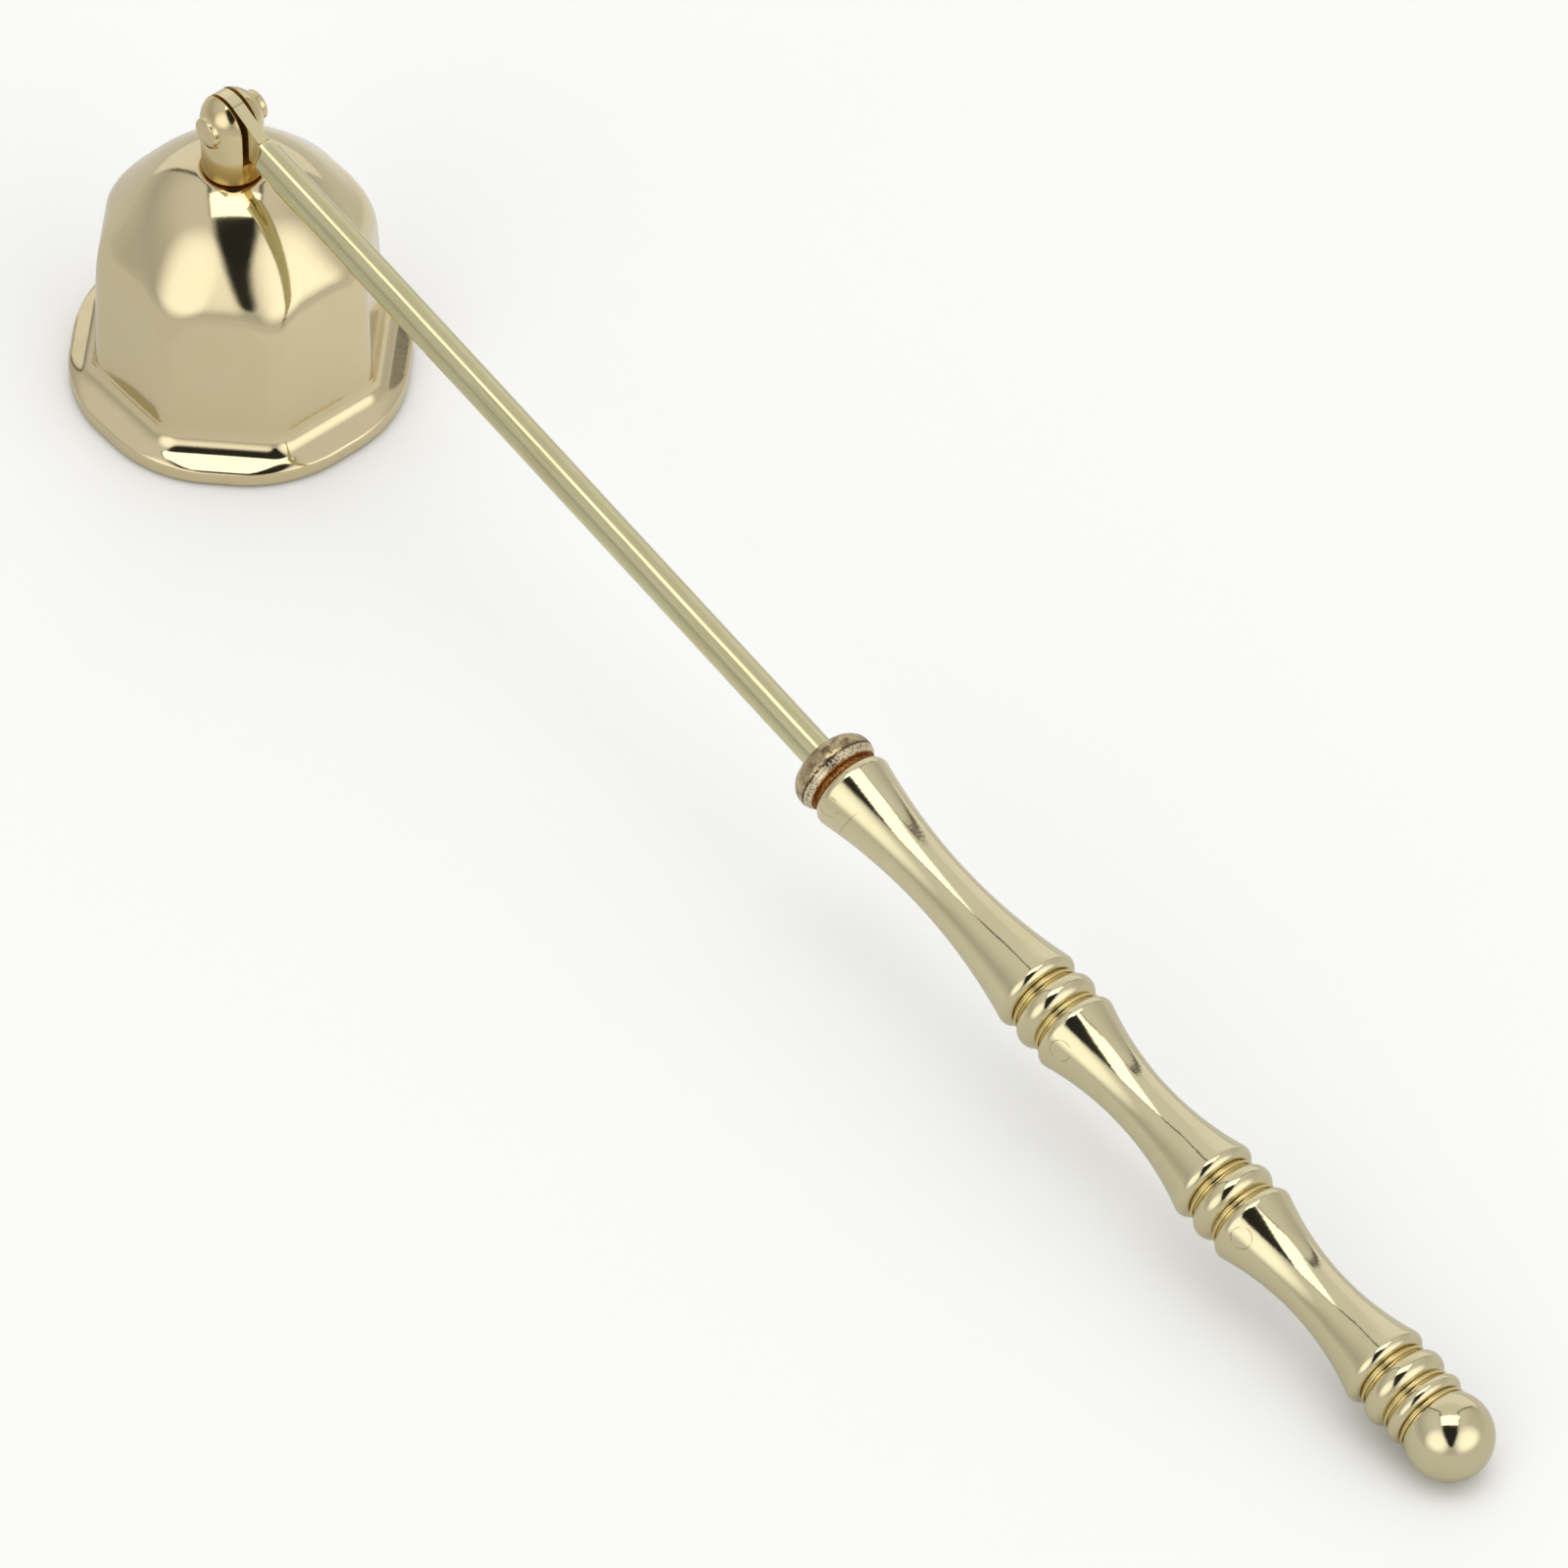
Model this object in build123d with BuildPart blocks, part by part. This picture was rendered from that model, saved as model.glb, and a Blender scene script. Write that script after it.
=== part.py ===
from build123d import *
import os
from math import asin, atan, cos, degrees, radians, sin, sqrt, tan

os.makedirs("parts", exist_ok=True)

# Frame: millimetres, origin at the centre of the bell's mouth on the table, Z up, handle towards X

# Bell: octagonal wall under a round dome
wall_foot_apothem = 16.5
wall_top_apothem = 15.7
wall_taper_height = 21.0
wall_corner_radius = 3.4
dome_spring_radius = 17.6
dome_spring_height = 15.0
dome_shoulder_radius = 14.05
dome_shoulder_height = 25.0
crown_slope = 0.33
shoulder_blend = 3.0
bell_thickness = 1.3

# Lip: the flared edge of the bell's mouth, whose top slopes down to a rounded rim
lip_apothem = 19.9
lip_corner_radius = 16.0
lip_rim_height = 2.1
lip_slope = 18.0
lip_overlap = 1.0
lip_cove_radius = 2.6
lip_top_rounding = 0.6
lip_bottom_rounding = 0.8
mouth_rounding = 0.4

# Flat seat on the crown, and the screw that fixes the post to it from inside
seat_height = 33.1
seat_radius = 3.8
screw_radius = 1.5
screw_hole_clearance = 0.1
thread_clearance = 0.02
screw_head_radius = 2.75
screw_head_height = 1.9
screw_head_rounding = 0.6
screw_reach_into_post = 2.5
screw_slot_width = 0.8
screw_slot_depth = 0.9
washer_radius = 3.0
washer_thickness = 0.5

# Clevis post on the crown
post_radius = 3.7
post_base_chamfer = 0.35
pin_above_seat = 7.74
slot_width = 2.4
slot_depth_below_pin = 4.3
thread_hole_depth = 2.8

# Hinge rivet through the post and the tang
rivet_radius = 1.0
rivet_hole_clearance = 0.02
rivet_running_clearance = 0.06
rivet_head_radius = 1.65
rivet_head_inner = 3.2
rivet_head_outer = 4.4
rivet_head_rounding = 0.18
spot_face_radius = 2.2

# Rod with its flattened tang and its thin core through the handle
rod_radius = 2.0
tang_thickness = 1.5
tang_eye_radius = 3.5
tang_length = 5.8
tang_end_half_width = 2.1
tang_runout_radius = 1.25
core_radius = 1.5
core_clearance = 0.02
core_thread_length = 3.4

# Lengths of the handle pieces, in their order from the rod to the ball
collar_start = 108.1
collar_length = 4.15
upper_grip_length = 34.5
middle_grip_length = 26.0
lower_grip_length = 24.7
bead_length = 3.0
spacer_length = 0.85
flange_length = 1.85

# Radii of the handle pieces
collar_radius = 5.12
collar_face_radius = 3.9
collar_edge_radius = 4.9
collar_band_radius = 4.75
collar_band_end_radius = 4.5
collar_neck_radius = 4.0
collar_bead_length = 2.9
collar_band_length = 0.65
grip_rounding = 1.15
upper_grip_radii = (5.28, 3.33, 5.52)
middle_grip_radii = (5.56, 3.41, 5.68)
lower_grip_radii = (5.62, 3.43, 5.64)
bead_radius = 5.22
bead_end_radius = 4.2
flange_radius = 5.0
flange_end_radius = 4.2
spacer_hub_radius = 4.05
spacer_fin_radius = 4.5
spacer_fin_length = 0.35
spacer_fin_rounding = 0.14
ball_radius = 5.12
ball_seat_to_centre = 2.5
ball_flat_to_centre = 5.02
ball_hole_depth = 3.8

# Places along the handle, measured from the pin
upper_grip_start = collar_start + collar_length
spacer_1_start = upper_grip_start + upper_grip_length
upper_bead_start = spacer_1_start + spacer_length
spacer_2_start = upper_bead_start + bead_length
middle_grip_start = spacer_2_start + spacer_length
spacer_3_start = middle_grip_start + middle_grip_length
middle_bead_start = spacer_3_start + spacer_length
spacer_4_start = middle_bead_start + bead_length
lower_grip_start = spacer_4_start + spacer_length
spacer_5_start = lower_grip_start + lower_grip_length
end_bead_start = spacer_5_start + spacer_length
spacer_6_start = end_bead_start + bead_length
flange_start = spacer_6_start + spacer_length
spacer_7_start = flange_start + flange_length
ball_start = spacer_7_start + spacer_length
ball_centre = ball_start + ball_seat_to_centre

# The pin stands above the seat, and the handle slopes down from it until the ball rests on the table
pin_height = seat_height + pin_above_seat
handle_slope = asin((pin_height - ball_radius) / ball_centre)
handle_direction = (cos(handle_slope), 0, -sin(handle_slope))
handle_plane = Plane(origin=(0, 0, pin_height), x_dir=handle_direction, z_dir=(0, -1, 0))
handle_axis = Axis((0, 0, pin_height), handle_direction)
pin_plane = Plane(origin=(0, 0, pin_height), x_dir=(1, 0, 0), z_dir=(0, -1, 0))
wall_taper = degrees(atan((wall_foot_apothem - wall_top_apothem) / wall_taper_height))
bore_radius = core_radius + core_clearance


def bell_form(inset):
    """Octagonal wall cut by the round dome, moved inwards by inset."""
    foot = (dome_spring_radius - inset, 0)
    spring = (dome_spring_radius - inset, dome_spring_height)
    shoulder = (dome_shoulder_radius - 0.8 * inset, dome_shoulder_height - 0.6 * inset)
    seat_edge = (seat_radius - 0.3 * inset, seat_height - inset)
    seat_centre = (0, seat_height - inset)
    with BuildPart() as form:
        with BuildSketch():
            RegularPolygon(wall_foot_apothem - inset, 8, major_radius=False, rotation=22.5)
            fillet(vertices(), radius=wall_corner_radius - inset)
        extrude(amount=seat_height, taper=wall_taper)
        with BuildSketch(Plane.XZ):
            with BuildLine():
                Line((0, 0), foot)
                Line(foot, spring)
                Spline(spring, shoulder, seat_edge, tangents=((0, 1), (-1, crown_slope)))
                Line(seat_edge, seat_centre)
                Line(seat_centre, (0, 0))
            make_face()
        revolve(axis=Axis.Z, mode=Mode.INTERSECT)
    return form.part


def grip_form(start, length, radii):
    """Waisted grip: radii are those of its upper end, its waist and its lower end."""
    upper = (start, radii[0])
    waist = (start + length / 2, radii[1])
    lower = (start + length, radii[2])
    with BuildPart() as form:
        with BuildSketch(handle_plane):
            with BuildLine():
                Line((start, bore_radius), upper)
                ThreePointArc(upper, waist, lower)
                Line(lower, (start + length, bore_radius))
                Line((start + length, bore_radius), (start, bore_radius))
            make_face()
            fillet(vertices().sort_by(Axis.Y)[-2:], radius=grip_rounding)
        revolve(axis=handle_axis)
    return form.part


def bead_form(start, length, end_radius, crest_radius):
    """Ring with a rounded crest."""
    with BuildPart() as form:
        with BuildSketch(handle_plane):
            with BuildLine():
                Line((start, bore_radius), (start, end_radius))
                ThreePointArc(
                    (start, end_radius),
                    (start + length / 2, crest_radius),
                    (start + length, end_radius),
                )
                Line((start + length, end_radius), (start + length, bore_radius))
                Line((start + length, bore_radius), (start, bore_radius))
            make_face()
        revolve(axis=handle_axis)
    return form.part


def off_axis(edge):
    """Distance of an edge's middle from the bell's axis."""
    return sqrt(edge.center().X ** 2 + edge.center().Y ** 2)


# Bell
lip_run = lip_apothem - wall_foot_apothem + lip_overlap
lip_top_height = lip_rim_height + lip_run * tan(radians(lip_slope))
lip_middle = (wall_foot_apothem + lip_apothem) / 2
with BuildPart() as lip_flare:
    with BuildSketch(Plane.XY.offset(lip_rim_height)):
        RegularPolygon(lip_apothem, 8, major_radius=False, rotation=22.5)
        fillet(vertices(), radius=lip_corner_radius)
    with BuildSketch(Plane.XY.offset(lip_top_height)):
        RegularPolygon(lip_apothem - lip_run, 8, major_radius=False, rotation=22.5)
        fillet(vertices(), radius=lip_corner_radius - lip_run)
    loft(ruled=True)
with BuildPart() as bell:
    add(bell_form(0))
    shoulder_edges = edges().filter_by(lambda e: dome_spring_height < e.center().Z < dome_shoulder_height)
    fillet(shoulder_edges, radius=shoulder_blend)
    with BuildSketch():
        RegularPolygon(lip_apothem, 8, major_radius=False, rotation=22.5)
        fillet(vertices(), radius=lip_corner_radius)
    extrude(amount=lip_rim_height)
    add(lip_flare.part)
    foot_edges = edges().filter_by(lambda e: lip_rim_height < e.center().Z < lip_top_height)
    fillet(foot_edges.filter_by(lambda e: off_axis(e) < lip_middle), radius=lip_cove_radius)
    fillet(edges().filter_by_position(Axis.Z, lip_rim_height, lip_rim_height), radius=lip_top_rounding)
    fillet(edges().filter_by_position(Axis.Z, 0, 0), radius=lip_bottom_rounding)
    add(bell_form(bell_thickness), mode=Mode.SUBTRACT)
    mouth_edges = edges().filter_by_position(Axis.Z, 0, 0)
    fillet(mouth_edges.filter_by(lambda e: off_axis(e) < wall_foot_apothem), radius=mouth_rounding)
    with BuildSketch():
        Circle(screw_radius + screw_hole_clearance)
    extrude(amount=seat_height, mode=Mode.SUBTRACT)
bell.part.label = "bell"
export_step(bell.part, "parts/bell.step")

# Clevis post
post_foot_radius = post_radius - post_base_chamfer
post_side_start = seat_height + post_base_chamfer
with BuildPart() as clevis_post:
    with BuildSketch(Plane.XZ):
        with BuildLine():
            Line((0, seat_height), (post_foot_radius, seat_height))
            Line((post_foot_radius, seat_height), (post_radius, post_side_start))
            Line((post_radius, post_side_start), (post_radius, pin_height))
            CenterArc((0, pin_height), post_radius, 0, 90)
            Line((0, pin_height + post_radius), (0, seat_height))
        make_face()
    revolve(axis=Axis.Z)
    with BuildSketch(Plane.XY.offset(pin_height - slot_depth_below_pin)):
        Rectangle(3 * post_radius, slot_width)
    extrude(amount=slot_depth_below_pin + 2 * post_radius, mode=Mode.SUBTRACT)
    with BuildSketch(pin_plane.offset(rivet_head_inner)):
        Circle(spot_face_radius)
    extrude(amount=post_radius, mode=Mode.SUBTRACT)
    with BuildSketch(pin_plane.offset(-rivet_head_inner)):
        Circle(spot_face_radius)
    extrude(amount=-post_radius, mode=Mode.SUBTRACT)
    with BuildSketch(pin_plane):
        Circle(rivet_radius + rivet_hole_clearance)
    extrude(amount=2 * post_radius, both=True, mode=Mode.SUBTRACT)
    with BuildSketch(Plane.XY.offset(seat_height)):
        Circle(screw_radius + thread_clearance)
    extrude(amount=thread_hole_depth, mode=Mode.SUBTRACT)
clevis_post.part.label = "clevis_post"
export_step(clevis_post.part, "parts/clevis_post.step")

# Hinge rivet
with BuildPart() as hinge_rivet:
    with BuildSketch(pin_plane):
        Circle(rivet_radius)
    extrude(amount=rivet_head_inner, both=True)
    with BuildSketch(pin_plane.offset(rivet_head_inner)):
        Circle(rivet_head_radius)
    extrude(amount=rivet_head_outer - rivet_head_inner)
    with BuildSketch(pin_plane.offset(-rivet_head_inner)):
        Circle(rivet_head_radius)
    extrude(amount=rivet_head_inner - rivet_head_outer)
    fillet(edges().group_by(Axis.Y)[0] + edges().group_by(Axis.Y)[-1], radius=rivet_head_rounding)
hinge_rivet.part.label = "hinge_rivet"
export_step(hinge_rivet.part, "parts/hinge_rivet.step")

# Crown screw
screw_head_top = seat_height - bell_thickness - washer_thickness
screw_head_bottom = screw_head_top - screw_head_height
with BuildPart() as crown_screw:
    with BuildSketch(Plane.XY.offset(screw_head_bottom)):
        Circle(screw_head_radius)
    extrude(amount=screw_head_height)
    fillet(edges().group_by(Axis.Z)[0], radius=screw_head_rounding)
    with BuildSketch(Plane.XY.offset(screw_head_top)):
        Circle(screw_radius)
    extrude(amount=seat_height + screw_reach_into_post - screw_head_top)
    with BuildSketch(Plane.XY.offset(screw_head_bottom)):
        Rectangle(3 * screw_head_radius, screw_slot_width)
    extrude(amount=screw_slot_depth, mode=Mode.SUBTRACT)
crown_screw.part.label = "crown_screw"
export_step(crown_screw.part, "parts/crown_screw.step")

# Crown washer
with BuildPart() as crown_washer:
    with BuildSketch(Plane.XY.offset(screw_head_top)):
        Circle(washer_radius)
        Circle(screw_radius + screw_hole_clearance, mode=Mode.SUBTRACT)
    extrude(amount=washer_thickness)
crown_washer.part.label = "crown_washer"
export_step(crown_washer.part, "parts/crown_washer.step")

# Rod, whose tang ends in a hollow on each side, as a round cutter leaves it
core_end = ball_start + core_thread_length
runout_middle = tang_thickness / 2 + tang_runout_radius
runout_plane = Plane(origin=(0, 0, pin_height), x_dir=handle_direction, z_dir=handle_plane.y_dir)
with BuildPart() as rod:
    with BuildSketch(handle_plane):
        Circle(tang_eye_radius)
        with Locations((tang_length / 2, 0)):
            Rectangle(tang_length, 2 * tang_end_half_width)
        make_hull()
    extrude(amount=tang_thickness / 2, both=True)
    with BuildSketch(handle_plane):
        with BuildLine():
            Line((tang_length, 0), (tang_length, rod_radius))
            Line((tang_length, rod_radius), (collar_start, rod_radius))
            Line((collar_start, rod_radius), (collar_start, core_radius))
            Line((collar_start, core_radius), (core_end, core_radius))
            Line((core_end, core_radius), (core_end, 0))
            Line((core_end, 0), (tang_length, 0))
        make_face()
    revolve(axis=handle_axis)
    with BuildSketch(runout_plane):
        with Locations((tang_length, runout_middle), (tang_length, -runout_middle)):
            Circle(tang_runout_radius)
    extrude(amount=2 * tang_eye_radius, both=True, mode=Mode.SUBTRACT)
    with BuildSketch(handle_plane):
        Circle(rivet_radius + rivet_running_clearance)
    extrude(amount=tang_thickness, both=True, mode=Mode.SUBTRACT)
rod.part.label = "rod"
export_step(rod.part, "parts/rod.step")

# Collar
collar_bead_end = collar_start + collar_bead_length
collar_band_end = collar_bead_end + collar_band_length
with BuildPart() as collar:
    with BuildSketch(handle_plane):
        with BuildLine():
            Line((collar_start, bore_radius), (collar_start, collar_face_radius))
            ThreePointArc(
                (collar_start, collar_face_radius),
                (collar_start + 0.65 * collar_bead_length, collar_radius),
                (collar_bead_end, collar_edge_radius),
            )
            Line((collar_bead_end, collar_edge_radius), (collar_bead_end, collar_band_radius))
            Line((collar_bead_end, collar_band_radius), (collar_band_end, collar_band_end_radius))
            Line((collar_band_end, collar_band_end_radius), (collar_band_end, collar_neck_radius))
            Line((collar_band_end, collar_neck_radius), (upper_grip_start, collar_neck_radius))
            Line((upper_grip_start, collar_neck_radius), (upper_grip_start, bore_radius))
            Line((upper_grip_start, bore_radius), (collar_start, bore_radius))
        make_face()
    revolve(axis=handle_axis)
collar.part.label = "collar"
export_step(collar.part, "parts/collar.step")

# Grips
with BuildPart() as upper_grip:
    add(grip_form(upper_grip_start, upper_grip_length, upper_grip_radii))
upper_grip.part.label = "upper_grip"
export_step(upper_grip.part, "parts/upper_grip.step")

with BuildPart() as middle_grip:
    add(grip_form(middle_grip_start, middle_grip_length, middle_grip_radii))
middle_grip.part.label = "middle_grip"
export_step(middle_grip.part, "parts/middle_grip.step")

with BuildPart() as lower_grip:
    add(grip_form(lower_grip_start, lower_grip_length, lower_grip_radii))
lower_grip.part.label = "lower_grip"
export_step(lower_grip.part, "parts/lower_grip.step")

# Beads and flange
with BuildPart() as upper_bead:
    add(bead_form(upper_bead_start, bead_length, bead_end_radius, bead_radius))
upper_bead.part.label = "upper_bead"
export_step(upper_bead.part, "parts/upper_bead.step")

with BuildPart() as middle_bead:
    add(bead_form(middle_bead_start, bead_length, bead_end_radius, bead_radius))
middle_bead.part.label = "middle_bead"
export_step(middle_bead.part, "parts/middle_bead.step")

with BuildPart() as end_bead:
    add(bead_form(end_bead_start, bead_length, bead_end_radius, bead_radius))
end_bead.part.label = "end_bead"
export_step(end_bead.part, "parts/end_bead.step")

with BuildPart() as finial_flange:
    add(bead_form(flange_start, flange_length, flange_end_radius, flange_radius))
finial_flange.part.label = "finial_flange"
export_step(finial_flange.part, "parts/finial_flange.step")

# Spacer rings
spacer_starts = (
    spacer_1_start,
    spacer_2_start,
    spacer_3_start,
    spacer_4_start,
    spacer_5_start,
    spacer_6_start,
    spacer_7_start,
)
with BuildPart() as spacer_rings:
    for start in spacer_starts:
        with BuildSketch(handle_plane):
            with Locations((start + spacer_length / 2, (bore_radius + spacer_hub_radius) / 2)):
                Rectangle(spacer_length, spacer_hub_radius - bore_radius)
            with Locations((start + spacer_length / 2, (bore_radius + spacer_fin_radius) / 2)):
                Rectangle(spacer_fin_length, spacer_fin_radius - bore_radius)
            fillet(vertices().sort_by(Axis.Y)[-2:], radius=spacer_fin_rounding)
        revolve(axis=handle_axis)
spacer_rings.part.label = "spacer_rings"
export_step(spacer_rings.part, "parts/spacer_rings.step")

# Ball finial
ball_seat_radius = sqrt(ball_radius**2 - ball_seat_to_centre**2)
ball_flat_radius = sqrt(ball_radius**2 - ball_flat_to_centre**2)
ball_flat = ball_centre + ball_flat_to_centre
ball_hole_end = ball_start + ball_hole_depth
with BuildPart() as ball_finial:
    with BuildSketch(handle_plane):
        with BuildLine():
            Line((ball_start, bore_radius), (ball_start, ball_seat_radius))
            ThreePointArc(
                (ball_start, ball_seat_radius),
                (ball_centre, ball_radius),
                (ball_flat, ball_flat_radius),
            )
            Line((ball_flat, ball_flat_radius), (ball_flat, 0))
            Line((ball_flat, 0), (ball_hole_end, 0))
            Line((ball_hole_end, 0), (ball_hole_end, bore_radius))
            Line((ball_hole_end, bore_radius), (ball_start, bore_radius))
        make_face()
    revolve(axis=handle_axis)
ball_finial.part.label = "ball_finial"
export_step(ball_finial.part, "parts/ball_finial.step")

handle_end = ball_flat * cos(handle_slope)
print("handle slope", round(degrees(handle_slope), 3), "degrees, reach", round(handle_end, 2), "mm")
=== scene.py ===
# %% [markdown]
# A brass candle snuffer, dressed for its portrait
#
# A candle snuffer is a small bell on a long handle: the bell goes over the flame and the flame runs
# out of air. This one is a polished, plated brass bell with eight sides, hinged to a round rod that
# carries a stack of turned grips and beads. The shapes come from a CAD model that is already packed
# in metres. This lesson lights it like a catalogue picture and gives every surface its own finish.

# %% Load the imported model
from math import cos, pi, radians, sin, sqrt, tan

import bpy
import bmesh
from mathutils import Matrix, Vector


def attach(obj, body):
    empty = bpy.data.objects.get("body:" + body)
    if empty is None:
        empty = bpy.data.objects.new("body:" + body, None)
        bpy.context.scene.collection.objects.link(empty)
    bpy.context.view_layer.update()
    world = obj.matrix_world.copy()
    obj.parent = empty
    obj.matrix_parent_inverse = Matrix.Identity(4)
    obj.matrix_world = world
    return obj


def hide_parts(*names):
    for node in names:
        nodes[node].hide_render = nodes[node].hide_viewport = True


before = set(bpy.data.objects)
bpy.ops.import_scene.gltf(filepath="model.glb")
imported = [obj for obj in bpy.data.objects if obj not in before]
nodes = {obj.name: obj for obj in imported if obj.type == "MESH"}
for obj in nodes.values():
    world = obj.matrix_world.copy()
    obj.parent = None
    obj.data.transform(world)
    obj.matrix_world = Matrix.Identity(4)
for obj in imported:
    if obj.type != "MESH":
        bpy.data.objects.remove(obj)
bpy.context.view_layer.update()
print("nodes:", ", ".join(sorted(nodes)))

# %% [markdown]
# The camera stands where the photographer stood: to the front right of the bell and well above it,
# with a long lens that keeps the handle from tapering. The picture's centre is given by how far it
# lies to the right of the bell's mouth and below it, as the camera sees them.

# %% Camera
MM = 0.001
camera_azimuth = radians(50.57)
camera_elevation = radians(48.5)
camera_distance = 1766.5 * MM
centre_right = 63.26 * MM
centre_below = 49.17 * MM
camera_lens = 348.0

to_right = Vector((cos(camera_azimuth), sin(camera_azimuth), 0))
towards = Vector((sin(camera_azimuth), -cos(camera_azimuth), 0))
to_camera = towards * cos(camera_elevation) + Vector((0, 0, sin(camera_elevation)))
to_top = to_camera.cross(to_right)

camera = bpy.data.objects.new("camera", bpy.data.cameras.new("camera"))
bpy.context.scene.collection.objects.link(camera)
camera.matrix_world = Matrix((to_right, to_top, to_camera)).transposed().to_4x4()
camera.location = to_right * centre_right - to_top * centre_below + to_camera * camera_distance
camera.data.lens = camera_lens
camera.data.clip_start = 0.1
camera.data.clip_end = 20.0
bpy.context.scene.camera = camera
print("camera at", [round(value, 3) for value in camera.location])

# %% [markdown]
# Two helpers carry the whole lesson. The first turns a colour as a painter picks it, an sRGB hex
# value, into the linear numbers that Blender's shaders work with. The second adds one shader node,
# sets its options, sets or links its inputs, and gives back the first output that is in use, so that
# a node tree reads like a list.

# %% Colour and node helpers
bpy.context.scene.view_settings.view_transform = "Standard"


def linear(hex_colour):
    """An sRGB hex colour as linear RGBA."""
    channels = []
    for start in (1, 3, 5):
        value = int(hex_colour[start:start + 2], 16) / 255
        channels.append(value / 12.92 if value <= 0.04045 else ((value + 0.055) / 1.055) ** 2.4)
    return (*channels, 1.0)


def add_node(tree, kind, inputs=None, **settings):
    """A new node's first output in use; settings are options, inputs are values or sockets to link."""
    node = tree.nodes.new(kind)
    for name, value in settings.items():
        setattr(node, name, value)
    in_use = {socket.name: socket for socket in reversed(node.inputs) if socket.enabled}
    for key, value in (inputs or {}).items():
        socket = node.inputs[key] if isinstance(key, int) else in_use[key]
        if isinstance(value, bpy.types.NodeSocket):
            tree.links.new(value, socket)
        else:
            socket.default_value = value
    return next((socket for socket in node.outputs if socket.enabled), None)


print("white is", linear("#FFFFFF"))

# %% [markdown]
# Nearly everything below is painted through masks. A mask is a value that is 1 where a layer of paint
# or light shows and 0 where it does not. This one is made of soft edges: each edge has a value to
# look at, where it is off and where it is on. A mask inside another one is as strong as both allow.

# %% Masks


def mask(tree, *edges, within=1.0):
    """A mask from soft edges, each (value, where it is off, where it is on), inside another mask."""
    for value, off, on in edges:
        within = add_node(
            tree, "ShaderNodeMapRange",
            {"Value": value, "From Min": off, "From Max": on, "To Max": within},
            interpolation_type="SMOOTHSTEP")
    return within


print("helpers:", linear.__name__, add_node.__name__, mask.__name__)

# %% [markdown]
# Polished metal has hardly any look of its own: it shows the room. Catalogue pictures of such things
# are taken in a light tent, a box of white cloth with lamps outside. The world here is that tent,
# painted in layers on the direction that a ray leaves in, so no picture file is needed. First come
# the compass values: how far a ray points to the right, to the front and up.

# %% Ways to aim in the tent
world = bpy.data.worlds.new("light_tent")
world.use_nodes = True
bpy.context.scene.world = world
tent = world.node_tree
tent.nodes.clear()
ray = add_node(tent, "ShaderNodeTexCoord")


def facing(azimuth, elevation=0):
    """How far a ray points one way: degrees to the right of the camera and above the floor."""
    turn = radians(azimuth)
    rise = radians(elevation)
    aim = (towards * cos(turn) + to_right * sin(turn)) * cos(rise) + Vector((0, 0, sin(rise)))
    return add_node(tent, "ShaderNodeVectorMath", {0: ray, 1: aim}, operation="DOT_PRODUCT")


right = facing(90)
front = facing(0)
up = add_node(tent, "ShaderNodeSeparateXYZ", {0: ray}).node.outputs["Z"]
aside = add_node(tent, "ShaderNodeMath", {0: right}, operation="ABSOLUTE")
print("compass nodes:", len(tent.nodes))

# %% [markdown]
# A white sheet comes down from the ceiling and along the back wall. Its two long edges show as thin
# dark seams in the dome. The ceiling lamp shines through the front part of that sheet, and it is the
# crisp bright patch on every rounded piece. Widths are shares of a ray's length, and the lamp's
# edges are slopes: how far forward a ray goes for each step up.

# %% Sheet, seams and ceiling lamp
sheet_half_width = 0.38
sheet_back_spread = 0.82
sheet_softness = 0.015
seam_softness = 0.045
lamp_front_edge = 0.22
lamp_back_edge = -0.23
lamp_softness = 0.02

sheet_top = add_node(tent, "ShaderNodeMath", {0: up, 1: sheet_half_width}, operation="MULTIPLY")
sheet_back = add_node(tent, "ShaderNodeMath", {0: front, 1: -sheet_back_spread}, operation="MULTIPLY")
sheet_side = add_node(tent, "ShaderNodeMath", {0: sheet_top, 1: sheet_back}, operation="MAXIMUM")
outside = add_node(tent, "ShaderNodeMath", {0: aside, 1: sheet_side}, operation="SUBTRACT")
from_seam = add_node(tent, "ShaderNodeMath", {0: outside}, operation="ABSOLUTE")
above = add_node(tent, "ShaderNodeMath", {0: up, 1: 0.001}, operation="MAXIMUM")
forward = add_node(tent, "ShaderNodeMath", {0: front, 1: above}, operation="DIVIDE")

behind_front_edge = (forward, lamp_front_edge + sheet_softness, lamp_front_edge - sheet_softness)
sheet = mask(tent, behind_front_edge, (outside, sheet_softness, -sheet_softness))
lamp = mask(tent, (forward, lamp_back_edge - lamp_softness, lamp_back_edge + lamp_softness), within=sheet)
seams = mask(tent, behind_front_edge, (from_seam, seam_softness, sheet_softness), (up, 0.1, 0.4))
print("tent nodes with the sheet:", len(tent.nodes))

# %% [markdown]
# The camera looks in through a dark slit in the front of the tent, just below the lamp. The slit gets
# wider with height, and so it is the black wedge on the bell and the ball and the black stripe on
# every grip. Two more lamps stand outside the front corners and fade towards the floor.

# %% Slit and corner lamps
slit_azimuth = 3
slit_width = add_node(
    tent, "ShaderNodeMapRange",
    {"Value": up, "From Min": 0.40, "From Max": 0.84, "To Min": 0.07, "To Max": 0.32})
from_slit = add_node(tent, "ShaderNodeMath", {0: facing(slit_azimuth + 90)}, operation="ABSOLUTE")
beyond_slit = add_node(tent, "ShaderNodeMath", {0: from_slit, 1: slit_width}, operation="SUBTRACT")
slit = mask(tent, (beyond_slit, 0.09, -0.07), (up, 0.33, 0.45), (front, 0.0, 0.05))

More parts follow.
